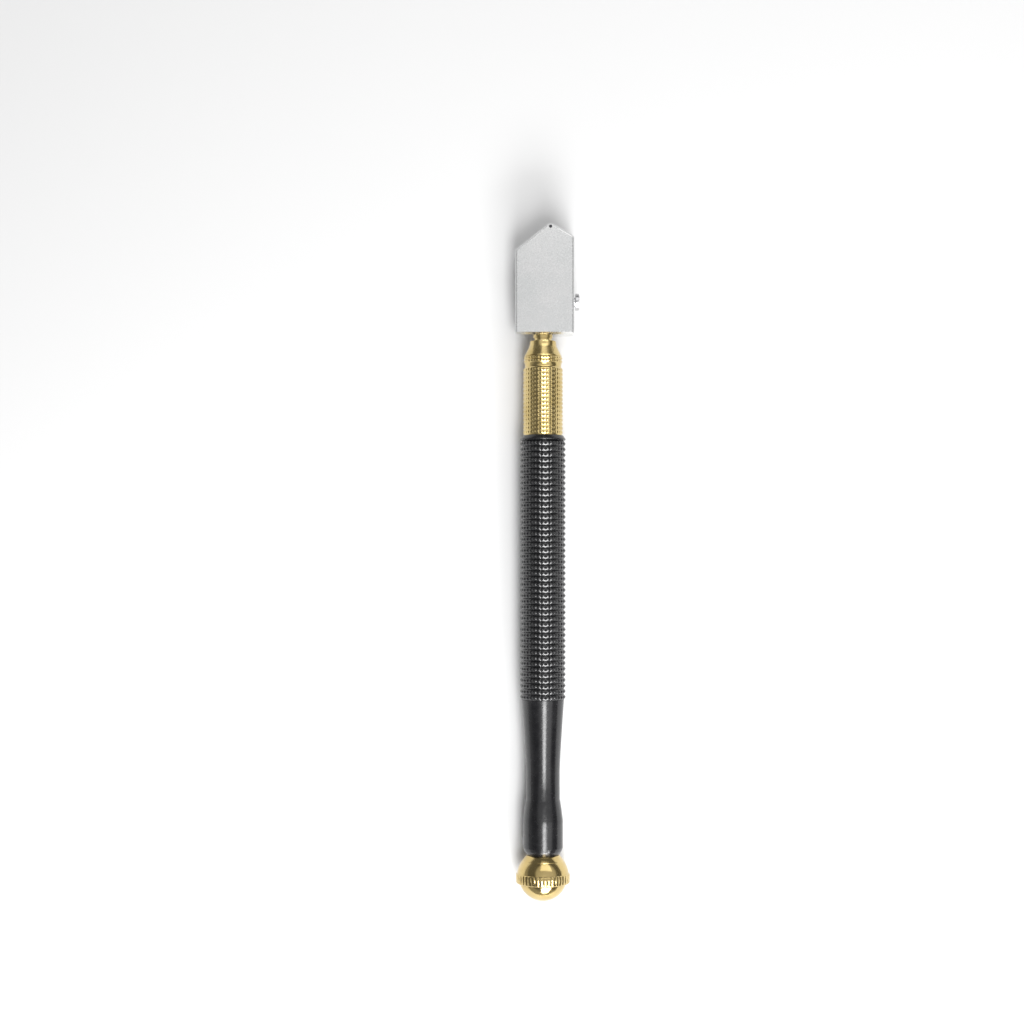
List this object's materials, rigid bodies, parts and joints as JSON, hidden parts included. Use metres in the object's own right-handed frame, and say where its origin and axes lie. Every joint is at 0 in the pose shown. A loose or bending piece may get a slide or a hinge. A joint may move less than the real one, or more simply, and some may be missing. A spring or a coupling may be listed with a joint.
{
  "type": "glass cutter",
  "caption": "Oil-fed glass cutter with a swivelling wheel head on a sprung stem, a knurled reservoir handle and a screw-in ball cap.",
  "frame": {"origin": "middle of the tool's box, on the surface that it lies on", "axes": "+Y along the handle towards the cutting edge, +X towards the head screw, +Z out of the head's upper wide face"},
  "size_m": [0.0164, 0.173, 0.0138],
  "materials": {
    "satin_nickel": "satin",
    "brass": "satin",
    "polished_brass": "polished",
    "black_plate": "satin",
    "steel": "satin",
    "carbide": "satin",
    "rubber": "matte",
    "felt": "matte"
  },
  "bodies": {
    "handle": {"grip_barrel": "black_plate", "front_ferrule": "brass", "ferrule_o_ring": "rubber", "valve_seat": "brass", "valve_spring": "steel"},
    "stem": {"stem": "brass", "stem_wick": "felt", "stem_o_ring": "rubber", "valve_poppet": "brass", "poppet_seal": "rubber"},
    "head": {"head_body": "satin_nickel", "wheel_axle": "steel", "oil_felt": "felt"},
    "wheel": {"cutting_wheel": "carbide"},
    "screw": {"head_screw": "steel"},
    "cap_seal": {"cap_o_ring": "rubber"},
    "cap": {"ball_cap": "polished_brass"}
  },
  "joints": [
    {"name": "stem_press", "type": "slide", "parent": "handle", "child": "stem", "axis": [0, -1, 0], "range_m": [0, 0.0006], "stiffness_N_per_m": 1000, "springref_m": -0.001, "deforming": ["valve_spring"]},
    {"name": "head_swivel", "type": "hinge", "parent": "stem", "child": "head", "pos_m": [-0.00109, 0.0579, 0.0069], "axis": [0, 1, 0], "range_deg": [-15, 15]},
    {"name": "wheel_spin", "type": "hinge", "parent": "head", "child": "wheel", "pos_m": [0.00081, 0.08525, 0.0069], "axis": [0, 0, 1], "continuous": true},
    {"name": "screw_turn", "type": "hinge", "parent": "head", "child": "screw", "pos_m": [0.00681, 0.0664, 0.0069], "axis": [1, 0, 0], "range_deg": [-90, 270]},
    {"name": "cap_travel", "type": "slide", "parent": "handle", "child": "cap_seal", "axis": [0, -1, 0], "range_m": [0, 0.012]},
    {"name": "cap_turn", "type": "hinge", "parent": "cap_seal", "child": "cap", "pos_m": [-0.00109, -0.08025, 0.0069], "axis": [0, -1, 0], "range_deg": [0, 4320]}
  ],
  "couplings": [
    {"joint": "cap_turn", "follows": "cap_travel", "rad_per_m": 6283.2}
  ]
}
